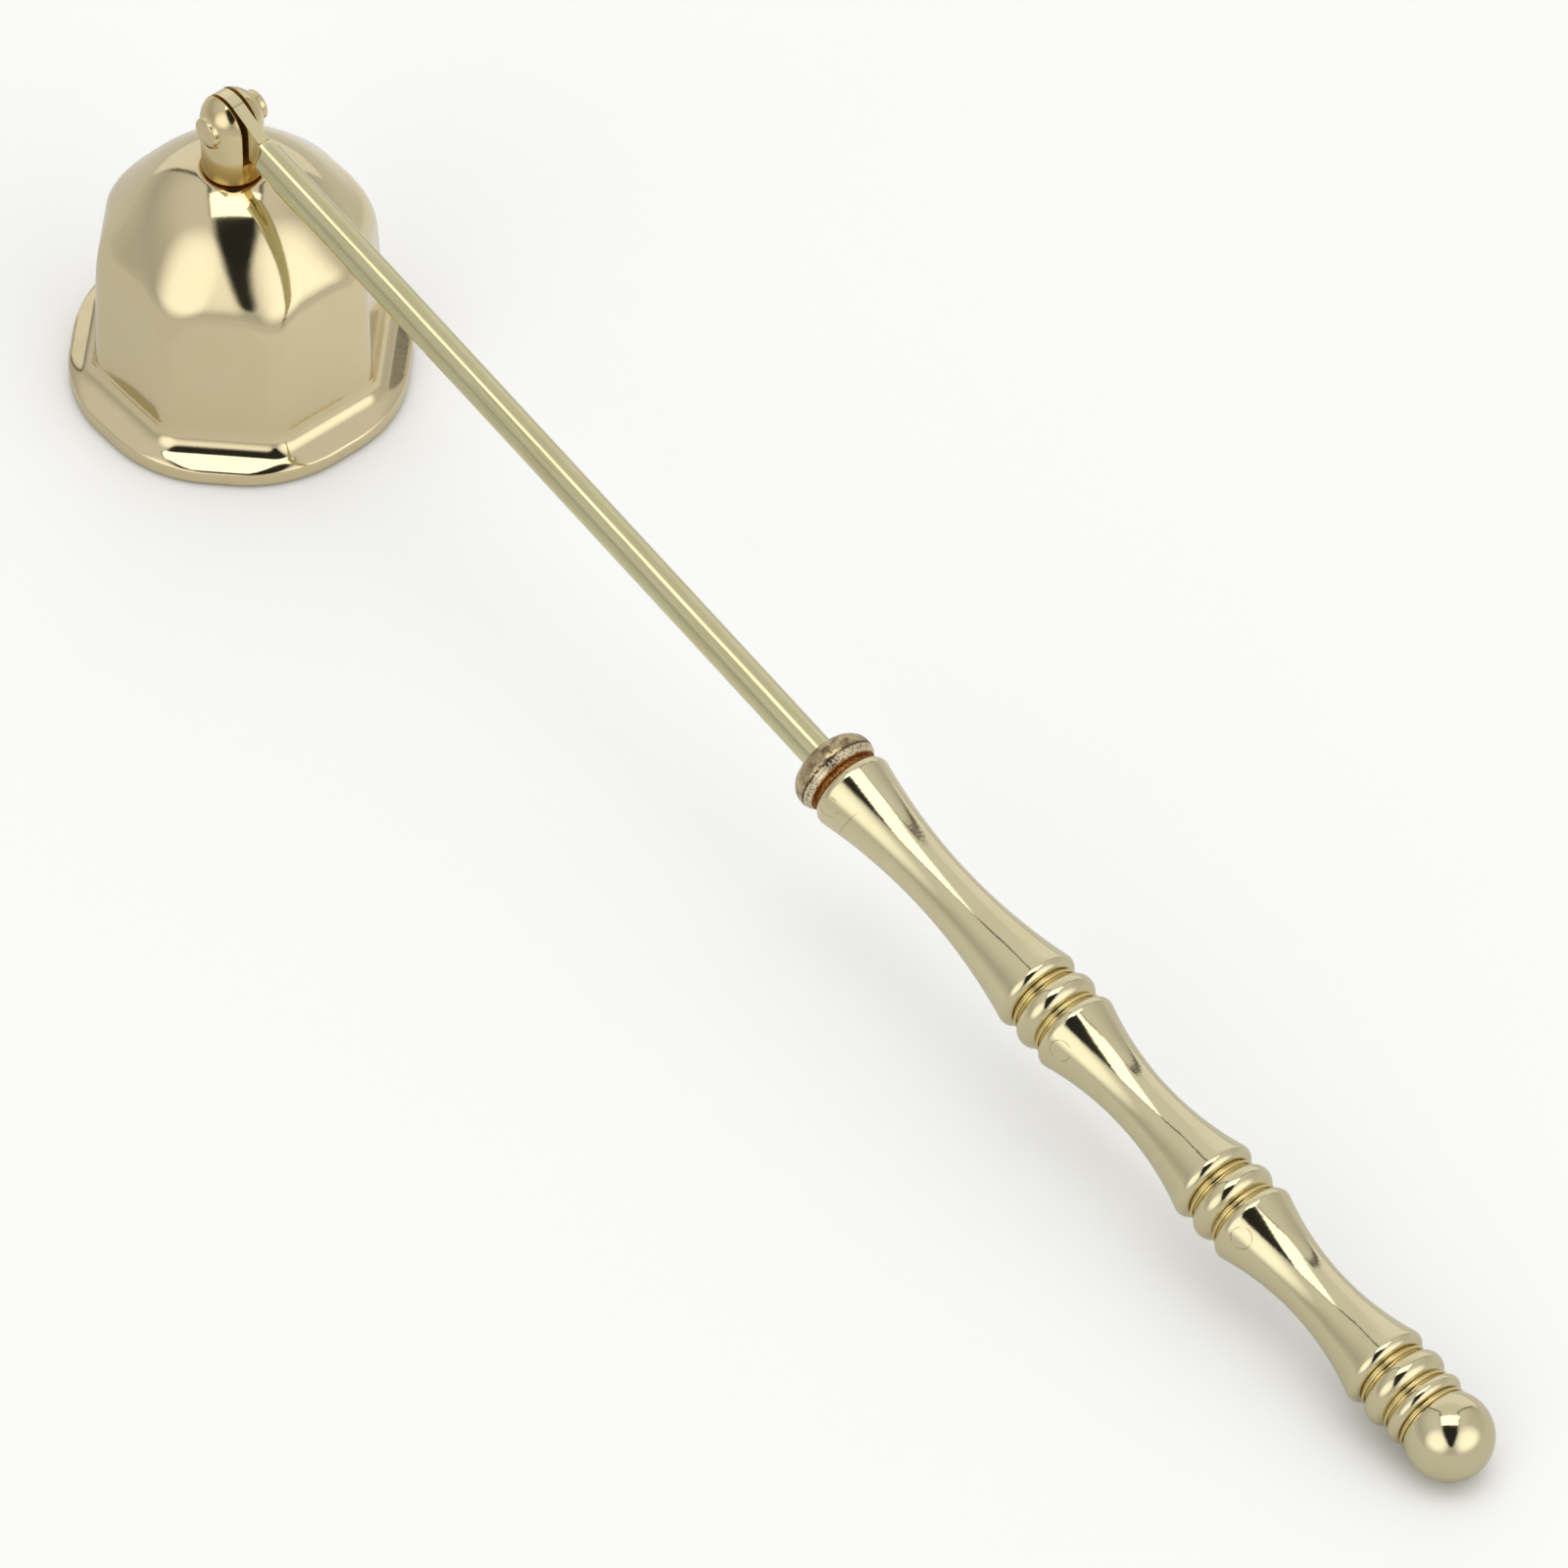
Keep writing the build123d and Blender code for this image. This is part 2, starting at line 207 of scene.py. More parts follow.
above_floor = (up, -0.15, 0.3)
left_glow = mask(tent, (facing(-37, 27), cos(radians(36)), cos(radians(5))), above_floor)
right_glow = mask(tent, (facing(52, 20), cos(radians(42)), cos(radians(8))), above_floor)
print("tent nodes with slit and glows:", len(tent.nodes))

# %% [markdown]
# Now the layers are laid over each other, from the cloth to the lamps. A brightness of 1 is white.
# No layer is very bright, so a colour renders about as it is written.

# %% Paint the tent
cloth_brightness = 0.5
layers = (
    ("haze over the floor", mask(tent, (up, 0.30, 0.0)), 0.62),
    ("upper walls", mask(tent, (up, 0.15, 0.85)), 0.76),
    ("right wall", mask(tent, (facing(88), 0.5, 0.95)), 0.64),
    ("sheet", sheet, 0.92),
    ("top of the sheet", mask(tent, (up, 0.5, 0.75), within=sheet), 0.78),
    ("left corner lamp", left_glow, 1.45),
    ("right corner lamp", right_glow, 1.5),
    ("seams", seams, 0.12),
    ("slit", slit, 0.025),
    ("ceiling lamp", lamp, 1.9),
)
level = cloth_brightness
for name, shown, brightness in layers:
    level = add_node(tent, "ShaderNodeMix", {"Factor": shown, "A": level, "B": brightness})
background = add_node(tent, "ShaderNodeBackground", {"Color": linear("#FFFFFF"), "Strength": level})
add_node(tent, "ShaderNodeOutputWorld", {"Surface": background})
print("tent layers:", ", ".join(name for name, shown, brightness in layers))

# %% [markdown]
# The floor is a wide sheet of pale card. A plain circle of mesh is enough for it, just under the rim
# that the bell stands on.

# %% Floor
floor_radius = 6.0
floor_drop = 0.02 * MM

floor_mesh = bpy.data.meshes.new("floor")
builder = bmesh.new()
bmesh.ops.create_circle(builder, cap_ends=True, segments=96, radius=floor_radius)
builder.to_mesh(floor_mesh)
builder.free()
floor = bpy.data.objects.new("floor", floor_mesh)
floor.location.z = -floor_drop
bpy.context.scene.collection.objects.link(floor)
print("floor radius", floor_radius, "m")

# %% [markdown]
# Card in a tent comes out grey, so it also glows a little where the camera looks at it. The metal
# mirrors less of that glow, and most of it beside the bell, where the polished sides throw light back
# on the card. The ambient occlusion node looks around for the snuffer and takes the glow away in its
# shade, so the soft shadow stays at every pose. The glow ends outside the picture, and apart from
# its mirror image it gives no light to the snuffer.

# %% Pale card
card_glow = 0.31
mirror_share = 0.1
bounce_share = 0.5
shade_reach = 60 * MM
glow_full = 250 * MM
glow_end = 600 * MM
bounce_full = 70 * MM
bounce_end = 140 * MM

card = bpy.data.materials.new("pale_card")
card.use_nodes = True
tree = card.node_tree
tree.nodes.clear()
path = add_node(tree, "ShaderNodeLightPath").node.outputs
place = add_node(tree, "ShaderNodeTexCoord").node.outputs["Object"]
from_bell = add_node(tree, "ShaderNodeVectorMath", {0: place}, operation="LENGTH")
beside = add_node(tree, "ShaderNodeVectorMath", {0: place, 1: to_right}, operation="DOT_PRODUCT")
open_sky = add_node(
    tree, "ShaderNodeAmbientOcclusion", {"Distance": shade_reach}, samples=8).node.outputs["AO"]

bounce = mask(tree, (beside, -45 * MM, 25 * MM), (from_bell, bounce_end, bounce_full))
share = add_node(
    tree, "ShaderNodeMath", {0: bounce, 1: bounce_share, 2: mirror_share}, operation="MULTIPLY_ADD")
mirrored = add_node(tree, "ShaderNodeMath", {0: path["Is Glossy Ray"], 1: share}, operation="MULTIPLY")
direct = add_node(
    tree, "ShaderNodeMath", {0: path["Is Camera Ray"], 1: path["Is Transmission Ray"]},
    operation="MAXIMUM")
seen = add_node(tree, "ShaderNodeMath", {0: direct, 1: mirrored}, operation="MAXIMUM")
lit = mask(tree, (open_sky, 0.2, 0.9), (from_bell, glow_end, glow_full), within=seen)
strength = add_node(tree, "ShaderNodeMath", {0: lit, 1: card_glow}, operation="MULTIPLY")
paper = add_node(tree, "ShaderNodeBsdfDiffuse", {"Color": linear("#E2E2E0")})
glow = add_node(tree, "ShaderNodeEmission", {"Strength": strength})
paper_and_glow = add_node(tree, "ShaderNodeAddShader", {0: paper, 1: glow})
add_node(tree, "ShaderNodeOutputMaterial", {"Surface": paper_and_glow})
floor_mesh.materials.append(card)
print("card nodes:", len(tree.nodes))

# %% [markdown]
# Most of the snuffer is cast, buffed and then plated bright in a bath. Such a surface mirrors the
# room, but never perfectly: buffing leaves a slight ripple that makes the edges of every highlight
# ragged, the colour is a little cloudy, and there are a few pits. Three procedural patterns give
# that, in real sizes: clouds of 4 mm, pits 2.5 mm apart and a ripple that is only thousandths or
# hundredths of a millimetre high.

# %% Plated metal
cloud_size = 4 * MM
pit_spacing = 2.5 * MM
pit_depth = 0.8


def plated(name, bright, deep, roughness, ripple_size, ripple_height):
    """A plated metal: its material and the sockets that later layers build on."""
    material = bpy.data.materials.new(name)
    material.use_nodes = True
    tree = material.node_tree
    tree.nodes.clear()
    place = add_node(tree, "ShaderNodeTexCoord").node.outputs["Object"]
    cloud = add_node(tree, "ShaderNodeTexNoise", {"Vector": place, "Scale": 1 / cloud_size, "Detail": 3.0})
    colour = add_node(
        tree, "ShaderNodeMix", {"Factor": cloud, "A": linear(bright), "B": linear(deep)},
        data_type="RGBA")
    polish = add_node(
        tree, "ShaderNodeMapRange",
        {"Value": cloud, "From Min": 0.3, "From Max": 0.7,
         "To Min": roughness * 0.75, "To Max": roughness * 1.25})
    ripple = add_node(
        tree, "ShaderNodeTexNoise", {"Vector": place, "Scale": 1 / (ripple_size * MM), "Detail": 2.0})
    cell = add_node(tree, "ShaderNodeTexVoronoi", {"Vector": place, "Scale": 1 / pit_spacing})
    height = add_node(
        tree, "ShaderNodeMath", {0: mask(tree, (cell, 0.05, 0.02)), 1: -pit_depth, 2: ripple},
        operation="MULTIPLY_ADD")
    bump = add_node(
        tree, "ShaderNodeBump", {"Height": height, "Strength": 1.0, "Distance": ripple_height * MM})
    shader = add_node(
        tree, "ShaderNodeBsdfPrincipled",
        {"Base Color": colour, "Metallic": 1.0, "Roughness": polish, "Normal": bump})
    add_node(tree, "ShaderNodeOutputMaterial", {"Surface": shader})
    return {
        "material": material, "tree": tree, "place": place, "colour": colour, "polish": polish,
        "shader": shader.node, "height": height, "bump": bump.node,
    }


def paint(finish, shown, hex_colour, roughness=None):
    """Lays a colour over a finish where the mask is on, and a roughness if one is given."""
    tree = finish["tree"]
    finish["colour"] = add_node(
        tree, "ShaderNodeMix", {"Factor": shown, "A": finish["colour"], "B": linear(hex_colour)},
        data_type="RGBA")
    tree.links.new(finish["colour"], finish["shader"].inputs["Base Color"])
    if roughness:
        finish["polish"] = add_node(
            tree, "ShaderNodeMix", {"Factor": shown, "A": finish["polish"], "B": roughness})
        tree.links.new(finish["polish"], finish["shader"].inputs["Roughness"])


def dress(finish, *names):
    """Puts a finish on CAD nodes."""
    for name in names:
        nodes[name].data.materials.clear()
        nodes[name].data.materials.append(finish["material"])
    print(finish["material"].name, "on", ", ".join(names))


print("plated metal has clouds of", cloud_size / MM, "mm")

# %% [markdown]
# The bell's outside is buffed and plated brass, a pale gold mirror. Buffing ran up and down the wall,
# so very fine upright lines blur it a little, drawn a quarter of a millimetre apart to show. A brown
# ring on the crown around the post's foot is painted shade and a painted reflection of the post's
# foot. The inside was left as it was cast, so it is dull and a little lumpy.

# %% Bell finishes
line_spacing = 0.25 * MM
line_depth = 0.3
seat_height = 33.1

bell_outside = plated("plated_brass_buffed_bell", "#DFD1AC", "#DACBA2", 0.09, 0.7, 0.0025)
bell_inside = plated("plated_brass_as_cast", "#D6C596", "#C4B07E", 0.36, 1.4, 0.03)

tree = bell_outside["tree"]
place = bell_outside["place"]
upright = add_node(tree, "ShaderNodeMapping", {"Vector": place, "Scale": (1.0, 1.0, 0.05)})
lines = add_node(tree, "ShaderNodeTexNoise", {"Vector": upright, "Scale": 1 / line_spacing, "Detail": 1.0})
wall_height = add_node(tree, "ShaderNodeSeparateXYZ", {0: place}).node.outputs["Z"]
wall_lines = mask(tree, (wall_height, 24 * MM, 19 * MM), (wall_height, 5 * MM, 7 * MM), within=lines)
wall_relief = add_node(
    tree, "ShaderNodeMath", {0: wall_lines, 1: line_depth, 2: bell_outside["height"]},
    operation="MULTIPLY_ADD")
tree.links.new(wall_relief, bell_outside["bump"].inputs["Height"])

crown = add_node(
    tree, "ShaderNodeVectorMath", {0: place, 1: (0, 0, seat_height * MM)}, operation="DISTANCE")
# Painted shade and reflection: a brown ring on the crown around the post's foot.
paint(bell_outside, mask(tree, (crown, 4.15 * MM, 3.8 * MM)), "#A07A38")
print("bell finishes:", bell_outside["material"].name, bell_inside["material"].name)

# %% [markdown]
# The bell is the piece that everybody looks at. On the real object it is one thin casting: an eight
# sided wall with softly rounded corners that melts into a round dome, and a mouth that flares out to
# a rounded rim. A sharp cut between wall and dome would show at once in the mirror finish, so the
# bell is built here row by row. Every row is a rounded octagon: how far its sides reach, the radius
# of its corners, and its height, all in millimetres.

# %% Rounded octagon
steps_per_side = 32


def octagon_radius(angle, reach, corner):
    """How far a rounded octagon reaches at an angle: reach is to its sides."""
    side = pi / 4
    turn = abs((angle + side / 2) % side - side / 2)
    inner = reach - corner
    if reach * sin(turn) <= inner * tan(side / 2) * cos(turn):
        return reach / cos(turn)
    centre_along = inner * cos(turn) + inner * tan(side / 2) * sin(turn)
    centre_square = (inner / cos(side / 2)) ** 2
    return centre_along + sqrt(max(centre_along ** 2 - centre_square + corner ** 2, 0.0))


def row_points(row):
    """The points of one rounded octagon, in metres."""
    reach, corner, z = row
    count = 8 * steps_per_side
    points = []
    for i in range(count):
        angle = 2 * pi * i / count
        radius = octagon_radius(angle, reach, corner) * MM
        points.append((radius * cos(angle), radius * sin(angle), z * MM))
    return points


print("points in a row:", 8 * steps_per_side)

# %% [markdown]
# The wall leans in slightly and the dome is a smooth curve of revolution. Where both meet, the smaller
# of the two counts, and a soft minimum rounds the place. The corner radius grows with height until
# the octagon is a circle. The same rows, set in by the thickness, make the inside.

# %% Wall and dome
wall_foot = 16.5
wall_taper = 0.8 / 21.0
wall_corner = 3.4
shell_thickness = 1.3
spring_radius = 17.6
spring_height = 15.0
shoulder_radius = 14.05
shoulder_height = 25.0
crown_radius = 3.8
blend_width = 1.2
corner_fade_start = 18.0
corner_fade_end = 28.5
dome_steps = 26


def smooth(value):
    """A soft ramp from 0 to 1."""
    value = min(max(value, 0.0), 1.0)
    return value * value * (3 - 2 * value)


def soft_minimum(first, second):
    """The smaller of two radii, rounded where they meet."""
    overlap = max(blend_width - abs(first - second), 0.0) / blend_width
    return min(first, second) - overlap * overlap * blend_width / 4


def hermite(start, start_pull, end, end_pull, t):
    """A point on a smooth curve between two points with a pull at each."""
    weights = (
        2 * t ** 3 - 3 * t ** 2 + 1,
        t ** 3 - 2 * t ** 2 + t,
        3 * t ** 2 - 2 * t ** 3,
        t ** 3 - t ** 2,
    )
    parts = (start, start_pull, end, end_pull)
    return [sum(weight * part[i] for weight, part in zip(weights, parts)) for i in range(2)]


def dome_rows(inset):
    """Radius and height down the round dome, from its crown to where it stands upright."""
    spring = (spring_radius - inset, spring_height)
    shoulder = (shoulder_radius - 0.8 * inset, shoulder_height - 0.6 * inset)
    crown = (crown_radius - 0.3 * inset, seat_height - inset)
    steps = [1 - i / dome_steps for i in range(dome_steps + 1)]
    upper = [hermite(shoulder, (-7.26, 10.17), crown, (-14.80, 3.90), t) for t in steps[:-1]]
    lower = [hermite(spring, (0.0, 12.94), shoulder, (-5.90, 8.26), t) for t in steps]
    return upper + lower


def wall_row(inset, radius, z):
    """One row of the shell: the wall where the dome is wider, and the dome above."""
    reach = soft_minimum(wall_foot - inset - wall_taper * z, radius)
    fade = smooth((z - corner_fade_start) / (corner_fade_end - corner_fade_start))
    corner = (wall_corner - inset) + fade * (reach - wall_corner + inset)
    return reach, corner, z


def shell_rows(inset, foot):
    """Rows of the wall and dome, from the crown down to the height where the wall starts."""
    rows = [wall_row(inset, radius, z) for radius, z in dome_rows(inset)]
    for i in range(1, dome_steps + 1):
        z = spring_height + (foot - spring_height) * i / dome_steps
        rows.append(wall_row(inset, spring_radius - inset, z))
    return rows


print("dome rises from", spring_height, "to", seat_height, "mm")

# %% [markdown]
# The mouth flares through a hollow cove into a sloping lip with a rounded rim. The cove is tangent to
# the wall and to the slope. The flat sides run out on the lip, and the rim is nearly round. The
# inside starts with a small rounding at the mouth.

# %% Lip and mouth
rim_reach = 19.9
rim_corner = 16.0
rim_height = 2.1
rim_top_rounding = 0.6
rim_bottom_rounding = 0.8
mouth_rounding = 0.4
flare_slope = radians(23.5)
cove_radius = 2.6
cove_foot = 4.0
flare_steps = 8


def lip_corner(reach):
    """The corner radius on the lip: the flare keeps the wall's flat sides, the rim is nearly round."""
    outward = min(max((reach - wall_foot) / (rim_reach - wall_foot), 0.0), 1.0)
    return wall_corner + (rim_corner - wall_corner) * outward ** 3


def rim_underside_corner(reach):
    """The corner radius under the rim, which keeps its distance from the rim."""
    return rim_corner - rim_reach + reach


def mouth_corner(reach):
    """The corner radius at the mouth, which keeps its distance from the wall."""
    return wall_corner - wall_foot + reach


def arc_rows(centre, radius, start, end, count, corner_at):
    """Rows along an arc of the profile, with the corner radius that belongs to each reach."""
    rows = []
    for i in range(count + 1):
        angle = start + (end - start) * i / count
        reach = centre[0] + radius * cos(angle)
        rows.append((reach, corner_at(reach), centre[1] + radius * sin(angle)))
    return rows


cove_axis = wall_foot - wall_taper * cove_foot + cove_radius
cove_height = rim_height + (rim_reach - cove_axis) * tan(flare_slope) + cove_radius / cos(flare_slope)
rim_axis = rim_reach - rim_top_rounding
rim_axis_height = rim_height + rim_top_rounding * tan(flare_slope) - rim_top_rounding / cos(flare_slope)
cove_end = cove_axis - cove_radius * sin(flare_slope)
flare_end = rim_axis + rim_top_rounding * sin(flare_slope)

outer = shell_rows(0.0, cove_height)
outer += arc_rows((cove_axis, cove_height), cove_radius, pi, 1.5 * pi - flare_slope, 20, lip_corner)[1:]
for i in range(1, flare_steps):
    reach = cove_end + (flare_end - cove_end) * i / flare_steps
    outer.append((reach, lip_corner(reach), rim_height + (rim_reach - reach) * tan(flare_slope)))
outer += arc_rows((rim_axis, rim_axis_height), rim_top_rounding, pi / 2 - flare_slope, 0, 10, lip_corner)
outer += arc_rows(
    (rim_reach - rim_bottom_rounding, rim_bottom_rounding), rim_bottom_rounding, 0, -pi / 2, 10,
    rim_underside_corner)
inner = arc_rows(
    (wall_foot - shell_thickness + mouth_rounding, mouth_rounding), mouth_rounding, -pi / 2, -pi, 8,
    mouth_corner)
inner += shell_rows(shell_thickness, mouth_rounding)[::-1][1:]
print("rows outside:", len(outer), "rows inside:", len(inner))

# %% [markdown]
# The rows are skinned with faces in one go: from the hole in the crown down the outside, around the
# rim, up the inside, and back through the hole. The outside and the inside get their own finish.

# %% Bell
hole_radius = 1.6


def skin(builder, rows, material_index, first=None):
    """Adds faces between rows and returns the last ring of vertices."""
    previous = first
    for row in rows:
        ring = [builder.verts.new(point) for point in row_points(row)]
        if previous:
            for i in range(len(ring)):
                j = (i + 1) % len(ring)
                face = builder.faces.new((previous[i], ring[i], ring[j], previous[j]))
                face.material_index = material_index
                face.smooth = True
        previous = ring
    return previous


def finish_piece(name, builder, finishes, node, body):
    """Makes an object from the faces, in place of a CAD node."""
    bmesh.ops.remove_doubles(builder, verts=builder.verts, dist=1e-7)
    bmesh.ops.recalc_face_normals(builder, faces=builder.faces)
    mesh = bpy.data.meshes.new(name)
    builder.to_mesh(mesh)
    builder.free()
    for finish in finishes:
        mesh.materials.append(finish["material"])
    piece = bpy.data.objects.new(name, mesh)
    bpy.context.scene.collection.objects.link(piece)
    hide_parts(node)
    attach(piece, body)
    print(name, "faces", len(mesh.polygons))
    return mesh


nearly_round = hole_radius - 0.001
hole_top = (hole_radius, nearly_round, seat_height)
hole_bottom = (hole_radius, nearly_round, seat_height - shell_thickness)
builder = bmesh.new()
rim_ring = skin(builder, [hole_top] + outer, 0)
skin(builder, inner + [hole_bottom, hole_top], 1, rim_ring)
finish_piece("bell_shell", builder, (bell_outside, bell_inside), "bell", "bell")

# %% [markdown]
# The post is plated like the bell. The slot that the rod's flat end swings in is painted a rough golden
# brown, with soot at its bottom where no cloth gets in. The lower part of the post is a deeper gold,
# and a dark brown ring at its foot, where it meets the crown, is painted shade.

# %% Post
hinge_pin = Vector((0, 0, 40.84 * MM))
slot_edge = 1.30 * MM
slot_face = 1.22 * MM

hinge_brass = plated("plated_brass_stained_and_shaded_hinge", "#DFD0A8", "#D3C08F", 0.11, 0.5, 0.006)
tree = hinge_brass["tree"]
place = hinge_brass["place"]
axes = add_node(tree, "ShaderNodeSeparateXYZ", {0: place}).node.outputs
from_middle = add_node(tree, "ShaderNodeMath", {0: axes["Y"]}, operation="ABSOLUTE")
blotch = add_node(tree, "ShaderNodeTexNoise", {"Vector": place, "Scale": 1 / MM, "Detail": 4.0})

slot = mask(tree, (from_middle, slot_edge, slot_face))
paint(hinge_brass, slot, "#E0B464", 0.5)
soot = mask(tree, (axes["Z"], 39.5 * MM, 36.4 * MM), (blotch, 0.35, 0.55), within=slot)
paint(hinge_brass, soot, "#AE6C2C", 0.6)
paint(hinge_brass, mask(tree, (axes["Z"], 37.2 * MM, 36.2 * MM), within=0.5), "#BE9E4C")
# Painted shade: a dark brown ring at the foot of the post, where it meets the crown.
paint(hinge_brass, mask(tree, (axes["Z"], 33.75 * MM, 33.35 * MM)), "#8A5A1E", 0.4)
dress(hinge_brass, "clevis_post")

# %% [markdown]
# The rivet's two heads were pressed from the shank, so they are low cushions with a soft edge. They
# are turned here like on a lathe, from a profile: each pair of numbers is a radius and a place along
# the axis.

# %% Rivet
turned_steps = 96
sharp_angle = radians(35)
rivet_radius = 1.0
head_reach = 1.85
head_start = 3.2
head_crown = 4.1
head_rounding = 0.35
head_swell = 0.12


def turned(builder, profile, middle, axis, side):
    """Turns a profile of (radius, place along the axis) in mm; one that is off the axis is closed."""
    other = axis.cross(side)
    rings = []
    for radius, along in profile:
        ring = []
        for i in range(turned_steps):
            angle = 2 * pi * i / turned_steps
            outward = side * cos(angle) + other * sin(angle)
            ring.append(builder.verts.new(middle + (axis * along + outward * radius) * MM))
        rings.append(ring)
    if profile[0][0] > 0:
        rings.append(rings[0])
    for first, second in zip(rings, rings[1:]):
        for i in range(turned_steps):
            j = (i + 1) % turned_steps
            builder.faces.new((first[i], first[j], second[j], second[i])).smooth = True


head = [(rivet_radius, head_start), (head_reach, head_start)]
for i in range(9):
    angle = pi / 2 * i / 8
    radius = head_reach - head_rounding * (1 - cos(angle))
    head.append((radius, head_crown - head_swell - head_rounding * (1 - sin(angle))))
head += [(0.7, head_crown - head_swell / 4), (0.0, head_crown)]
other_head = [(radius, -along) for radius, along in reversed(head)]
builder = bmesh.new()
turned(builder, other_head + head, hinge_pin, Vector((0, 1, 0)), Vector((0, 0, 1)))
mesh = finish_piece("rivet", builder, (hinge_brass,), "hinge_rivet", "bell")
mesh.set_sharp_from_angle(angle=sharp_angle)

# %% [markdown]
# The grips, the beads and the ball carry a finer and steeper ripple than the bell, because small round
# pieces are buffed by hand. Each grip has a hairline circle near its upper end, two and a half
# millimetres wide, as the round pins leave that push a casting out of its mould. A fine crack runs
# part of the way around the longest grip. Both are dark hairlines, drawn a little wider than they are
# so that they show.

# %% Grips, beads and ball
pin_mark_radius = 1.25 * MM
pin_marks = ((112.92, -4.52, 23.75), (152.61, -4.16, 17.52), (183.04, -3.73, 13.13))
hairline = 0.045 * MM
crack_hairline = 0.027 * MM
crack_start = 116.57 * MM
crack_lean = 0.212
handle_slope = radians(9.486)
along_handle = Vector((cos(handle_slope), 0, -sin(handle_slope)))
over_handle = Vector((sin(handle_slope), 0, cos(handle_slope)))

grip_brass = plated("plated_brass_buffed_grips", "#DFD6B2", "#D8CCA2", 0.09, 0.4, 0.005)
tree = grip_brass["tree"]
place = grip_brass["place"]
wear = add_node(tree, "ShaderNodeTexNoise", {"Vector": place, "Scale": 0.9 / MM, "Detail": 1.0})
for pin_mark in pin_marks:
    from_mark = add_node(
        tree, "ShaderNodeVectorMath", {0: place, 1: Vector(pin_mark) * MM}, operation="DISTANCE")
    circle = add_node(
        tree, "ShaderNodeMath", {0: from_mark, 1: pin_mark_radius, 2: hairline}, operation="COMPARE")
    paint(grip_brass, mask(tree, (wear, 0.38, 0.6), within=circle), "#A08C5C")

crack_aim = along_handle - over_handle * crack_lean
crack_place = crack_start + hinge_pin.dot(crack_aim)
along_crack = add_node(tree, "ShaderNodeVectorMath", {0: place, 1: crack_aim}, operation="DOT_PRODUCT")
crack = add_node(
    tree, "ShaderNodeMath", {0: along_crack, 1: crack_place, 2: crack_hairline}, operation="COMPARE")
left_side = add_node(tree, "ShaderNodeSeparateXYZ", {0: place}).node.outputs["Y"]
paint(grip_brass, mask(tree, (left_side, -2.7 * MM, -3.4 * MM), within=crack), "#8A7648")
dress(
    grip_brass, "upper_grip", "upper_bead", "middle_grip", "middle_bead", "lower_grip", "end_bead",
    "finial_flange", "ball_finial")

# %% [markdown]
# The rings between them are deeper in colour. They sit in grooves where the light bounces from brass
# to brass, and each bounce makes the gold more saturated. Each ring is a hub with a thin round fin,
# turned from one profile and set in its groove on the handle.

# %% Rings
first_grip_start = 112.25
piece_lengths = (34.5, 3.0, 26.0, 3.0, 24.7, 3.0, 1.85)
ring_length = 0.85
bore_radius = 1.52
hub_radius = 4.05
fin_radius = 4.5
fin_half_length = 0.175

ring_brass = plated("raw_brass_turned_rings", "#E6D8A6", "#DCC78C", 0.16, 0.3, 0.0015)
hub_end = ring_length / 2
fin_crest = fin_radius - fin_half_length
ring_profile = [(bore_radius, -hub_end), (hub_radius, -hub_end), (hub_radius, -fin_half_length)]
for i in range(13):
    angle = pi * i / 12 - pi / 2
    ring_profile.append((fin_crest + fin_half_length * cos(angle), fin_half_length * sin(angle)))
ring_profile += [(hub_radius, fin_half_length), (hub_radius, hub_end), (bore_radius, hub_end)]

builder = bmesh.new()
ring_end = first_grip_start
for length in piece_lengths:
    ring_end += length + ring_length
    middle = hinge_pin + along_handle * (ring_end - hub_end) * MM
    turned(builder, ring_profile, middle, along_handle, over_handle)
mesh = finish_piece("rings", builder, (ring_brass,), "spacer_rings", "handle")
mesh.set_sharp_from_angle(angle=sharp_angle)

# %% [markdown]
# The rod is wire that was drawn through a die. Drawing leaves long fine lines, so the mirror image
# breaks up across the rod and stays sharp along it. The pattern has lines a fifth of a millimetre
# apart and is stretched sixty times along the handle. The flat end at the hinge was milled afterwards
# and has no such lines.

# %% Rod
draw_line_spacing = 0.2 * MM
draw_line_depth = 0.006 * MM
draw_stretch = 60

rod_brass = plated("drawn_brass_rod", "#D3CDA6", "#C6BF92", 0.12, 0.5, 0.002)
tree = rod_brass["tree"]
place = rod_brass["place"]
stretched = add_node(
    tree, "ShaderNodeMapping",
    {"Vector": place, "Location": hinge_pin, "Rotation": (0, handle_slope, 0),
     "Scale": (draw_stretch, 1, 1)},
    vector_type="TEXTURE")
lines = add_node(
    tree, "ShaderNodeTexNoise", {"Vector": stretched, "Scale": 1 / draw_line_spacing, "Detail": 2.0})
from_hinge = add_node(tree, "ShaderNodeSeparateXYZ", {0: place}).node.outputs["X"]
rod_lines = mask(tree, (from_hinge, 6 * MM, 9 * MM), within=lines)
tree.links.new(rod_lines, rod_brass["bump"].inputs["Height"])
rod_brass["bump"].inputs["Distance"].default_value = draw_line_depth
paint(rod_brass, mask(tree, (rod_lines, 0.62, 0.72)), "#BDB584")
paint(rod_brass, mask(tree, (from_hinge, 7 * MM, 6 * MM)), "#E2D6AC")
dress(rod_brass, "rod")
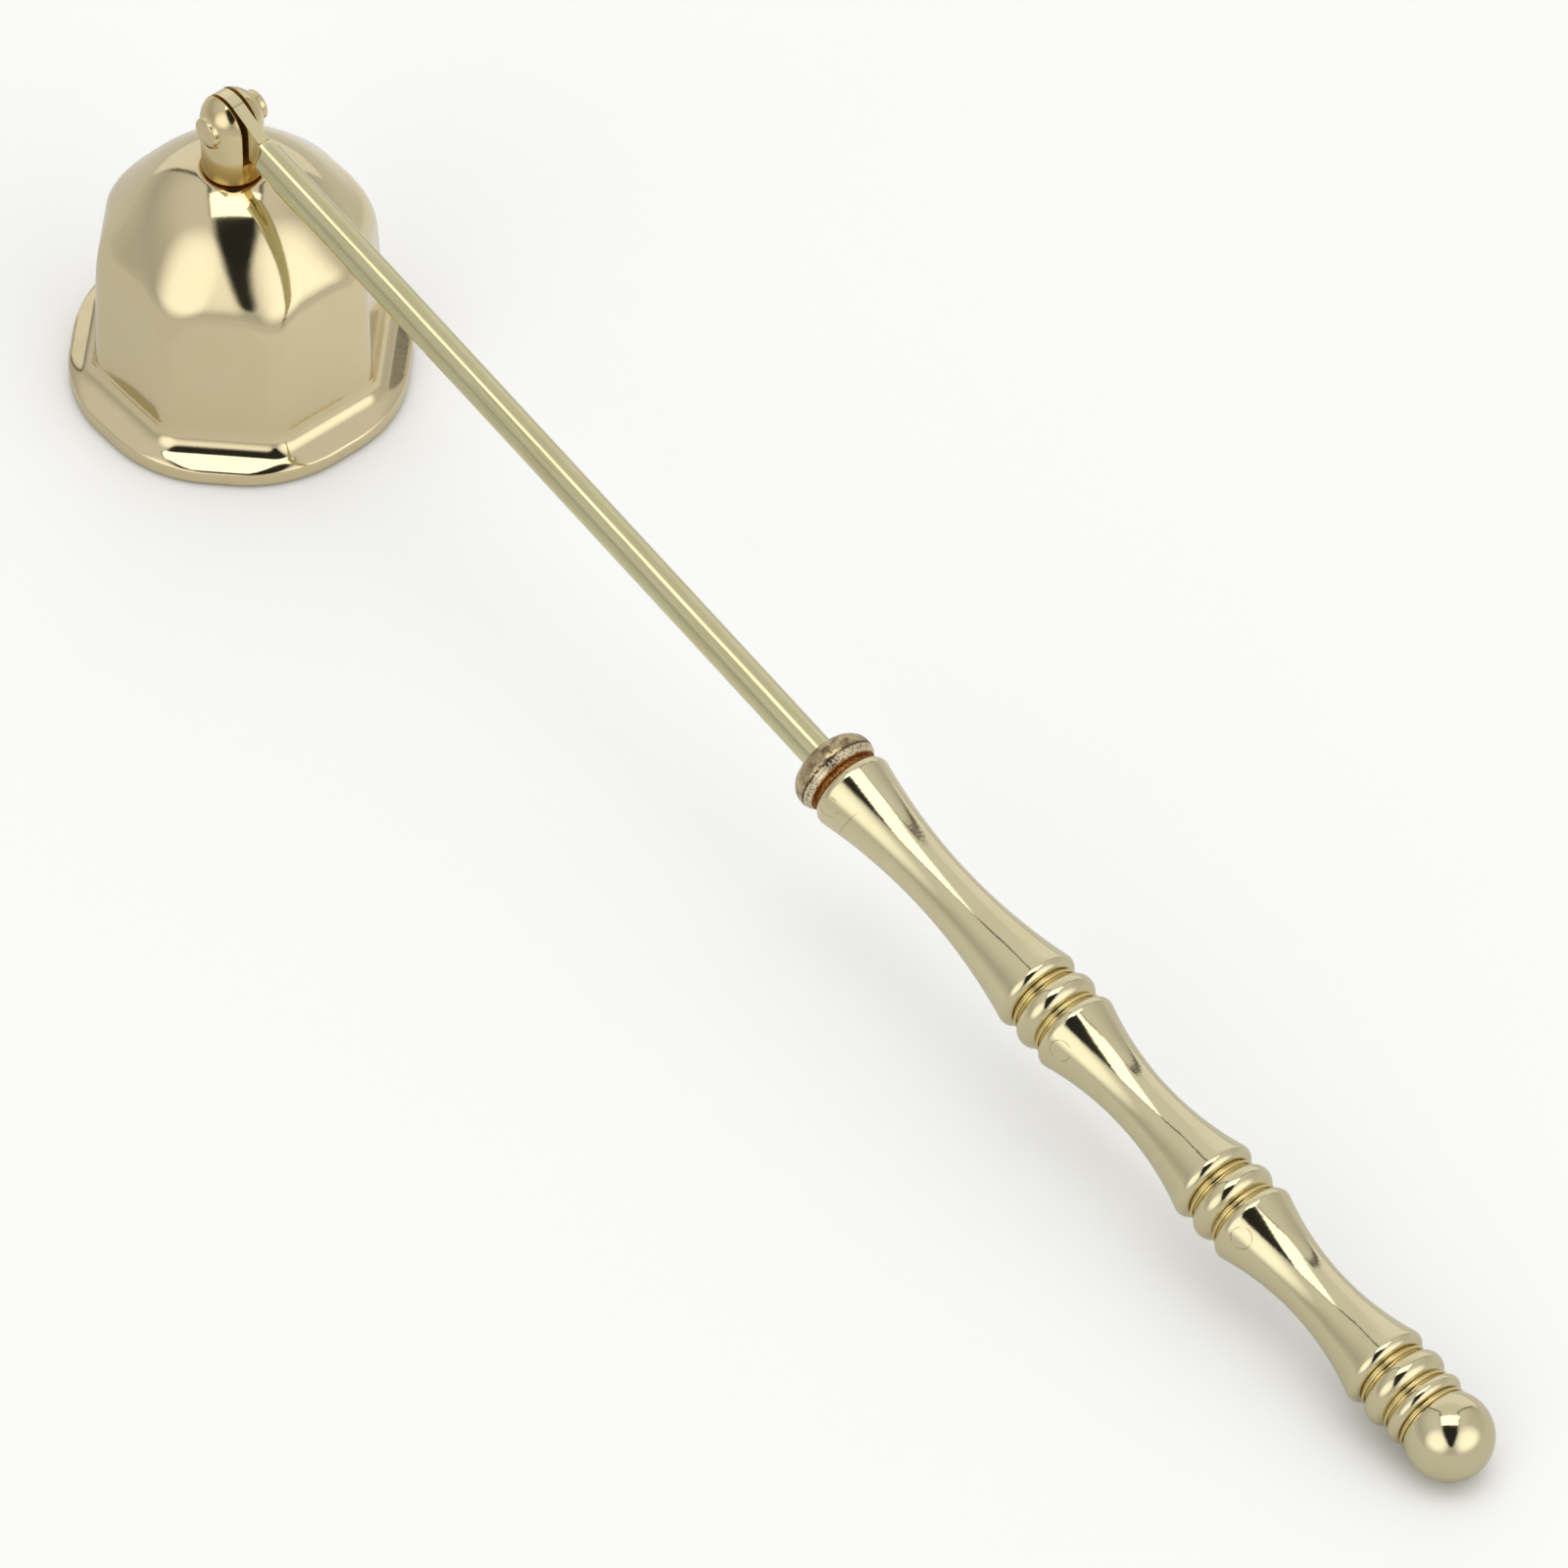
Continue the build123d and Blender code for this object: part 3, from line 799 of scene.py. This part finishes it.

# %% [markdown]
# The collar was left bare and has tarnished. Bare brass goes brown in blotches. The pale gold specks
# between them are partly wear where hands touch and partly painted highlights. A dark painted shade
# marks a fold around the bead, then comes a pale band, partly rubbed brass and partly a painted
# highlight, and the groove behind it holds orange brown dirt that nothing ever wiped out. The edges of
# these bands wander by about a third of a millimetre, as such marks do.

# %% Collar
wander = 0.6 * MM

collar_brass = plated("tarnished_brass_collar_with_painted_light", "#BEAE8A", "#A69470", 0.14, 0.35, 0.012)
tree = collar_brass["tree"]
spot = add_node(
    tree, "ShaderNodeMapping",
    {"Vector": collar_brass["place"], "Location": hinge_pin, "Rotation": (0, handle_slope, 0)},
    vector_type="TEXTURE")
spot_along = add_node(tree, "ShaderNodeSeparateXYZ", {0: spot}).node.outputs["X"]
blotch = add_node(
    tree, "ShaderNodeTexNoise", {"Vector": spot, "Scale": 0.9 / MM, "Detail": 6.0, "Roughness": 0.65})
grain = add_node(tree, "ShaderNodeTexNoise", {"Vector": spot, "Scale": 3.5 / MM, "Detail": 4.0})
wandered = add_node(
    tree, "ShaderNodeMath", {0: blotch, 1: wander, 2: spot_along}, operation="MULTIPLY_ADD")
along = add_node(tree, "ShaderNodeMath", {0: wandered, 1: wander / 2}, operation="SUBTRACT")

paint(collar_brass, mask(tree, (blotch, 0.5, 0.62)), "#806A4C", 0.3)
# Painted highlights, partly wear: pale gold specks between the blotches.
paint(collar_brass, mask(tree, (grain, 0.5, 0.62), (blotch, 0.55, 0.42)), "#D2BE98")
# Painted highlight, partly rubbed brass: a pale band behind the bead.
rubbed_band_and_highlight = mask(tree, (along, 110.65 * MM, 110.8 * MM), (along, 111.6 * MM, 111.45 * MM))
paint(collar_brass, mask(tree, (grain, 0.36, 0.56), within=rubbed_band_and_highlight), "#E6DABC", 0.4)
# Painted shade: a dark line that stands for a fold around the bead.
fold_shade = mask(tree, (along, 110.35 * MM, 110.5 * MM), (along, 110.8 * MM, 110.6 * MM))
paint(collar_brass, mask(tree, (grain, 0.3, 0.55), within=fold_shade), "#4E3C28", 0.4)
dirt = mask(tree, (along, 111.4 * MM, 111.6 * MM))
paint(collar_brass, dirt, "#B8864A", 0.5)
paint(collar_brass, mask(tree, (grain, 0.42, 0.58), within=dirt), "#8E5626", 0.6)
dress(collar_brass, "collar")

# %% [markdown]
# A screw and a washer inside the bell hold the post. They are plain steel with a zinc coat, greyer
# and duller than the brass around them.

# %% Fixings
zinc = plated("zinc_plated_steel", "#C9CCCE", "#AEB2B6", 0.32, 0.6, 0.006)
dress(zinc, "crown_screw", "crown_washer")
